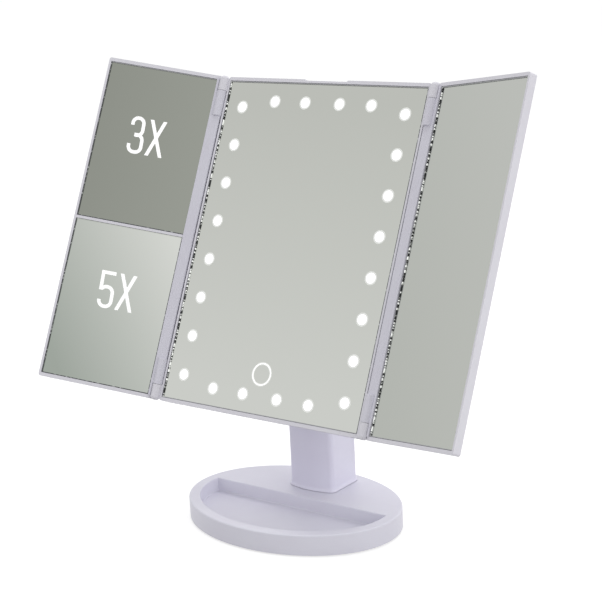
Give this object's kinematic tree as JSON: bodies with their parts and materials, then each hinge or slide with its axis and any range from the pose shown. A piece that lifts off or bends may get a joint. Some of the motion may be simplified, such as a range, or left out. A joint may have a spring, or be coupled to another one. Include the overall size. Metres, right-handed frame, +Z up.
{
  "type": "lighted makeup mirror",
  "caption": "Tabletop makeup mirror with a lighted centre panel and folding side wings, two of them magnifying, on a tilting stem and an oval tray base.",
  "frame": {"origin": "centre of the oval base's underside, on the surface that the mirror stands on", "axes": "+Z up, -Y towards the user, +X to the right seen from the front"},
  "size_m": [0.3354, 0.1406, 0.3098],
  "materials": {
    "white_abs": "satin moulded ABS, pale lavender white",
    "mirror_glass": "silvered glass",
    "milky_acrylic": "milky acrylic light diffuser",
    "light_ink": "etched white ring",
    "led_board_white": "white solder mask with lamps",
    "circuit_board": "green solder mask",
    "screw_steel": "zinc-plated steel",
    "contact_metal": "nickel plate",
    "cast_iron": "raw casting",
    "rubber": "matte foam rubber",
    "cell_sleeve": "plain shrink sleeve",
    "lead_sheath": "matte sheath",
    "nylon": "natural nylon"
  },
  "bodies": {
    "stand": {"base_shell": "white_abs", "base_bottom": "white_abs", "stem_shell": "white_abs", "stem_rear_cover": "white_abs", "anti_slip_pad": "rubber", "ballast_plate": "cast_iron", "power_inlet": "contact_metal", "contact_spring_left": "contact_metal", "contact_spring_right": "contact_metal", "contact_bridge": "contact_metal", "power_board": "circuit_board", "base_screw_1": "screw_steel", "base_screw_2": "screw_steel", "base_screw_3": "screw_steel", "base_screw_4": "screw_steel", "stem_screw_1": "screw_steel", "stem_screw_2": "screw_steel", "rear_cover_screw_1": "screw_steel", "rear_cover_screw_2": "screw_steel", "cell_1": "cell_sleeve", "cell_2": "cell_sleeve", "cell_3": "cell_sleeve", "cell_4": "cell_sleeve", "stem_lead": "lead_sheath"},
    "battery_door": {"battery_door": "white_abs"},
    "head": {"tilt_shaft": "screw_steel", "tilt_nut": "screw_steel", "head_screw_1": "screw_steel", "head_screw_2": "screw_steel", "head_screw_3": "screw_steel", "head_screw_4": "screw_steel", "hinge_pin_left_top": "screw_steel", "hinge_pin_left_bottom": "screw_steel", "hinge_pin_right_top": "screw_steel", "hinge_pin_right_bottom": "screw_steel", "friction_washer_left": "nylon", "friction_washer_right": "nylon", "hinge_cap_left": "white_abs", "hinge_cap_right": "white_abs", "centre_bezel": "white_abs", "head_rear_cover": "white_abs", "centre_mirror": "mirror_glass", "touch_ring": "light_ink", "light_diffuser": "milky_acrylic", "led_board": "led_board_white", "touch_board": "circuit_board"},
    "left_wing": {"left_wing_frame": "white_abs", "left_wing_back": "white_abs", "mirror_3x": "mirror_glass", "mirror_5x": "mirror_glass"},
    "right_wing": {"right_wing_frame": "white_abs", "right_wing_back": "white_abs", "right_mirror": "mirror_glass"}
  },
  "joints": [
    {"name": "head_tilt", "type": "hinge", "parent": "stand", "child": "head", "pos_m": [0, 0.036, 0.1775], "axis": [-1, 0, 0], "range_deg": [-24, 65]},
    {"name": "left_wing_fold", "type": "hinge", "parent": "head", "child": "left_wing", "pos_m": [-0.0865, 0.00936, 0.18993], "axis": [0, 0.4226, 0.9063], "range_deg": [-26, 153.5]},
    {"name": "right_wing_fold", "type": "hinge", "parent": "head", "child": "right_wing", "pos_m": [0.0865, 0.00936, 0.18993], "axis": [0, -0.4226, -0.9063], "range_deg": [-19.5, 160]},
    {"name": "battery_door_off", "type": "slide", "parent": "stand", "child": "battery_door", "axis": [0, 1, 0], "range_m": [0, 0.02]}
  ]
}
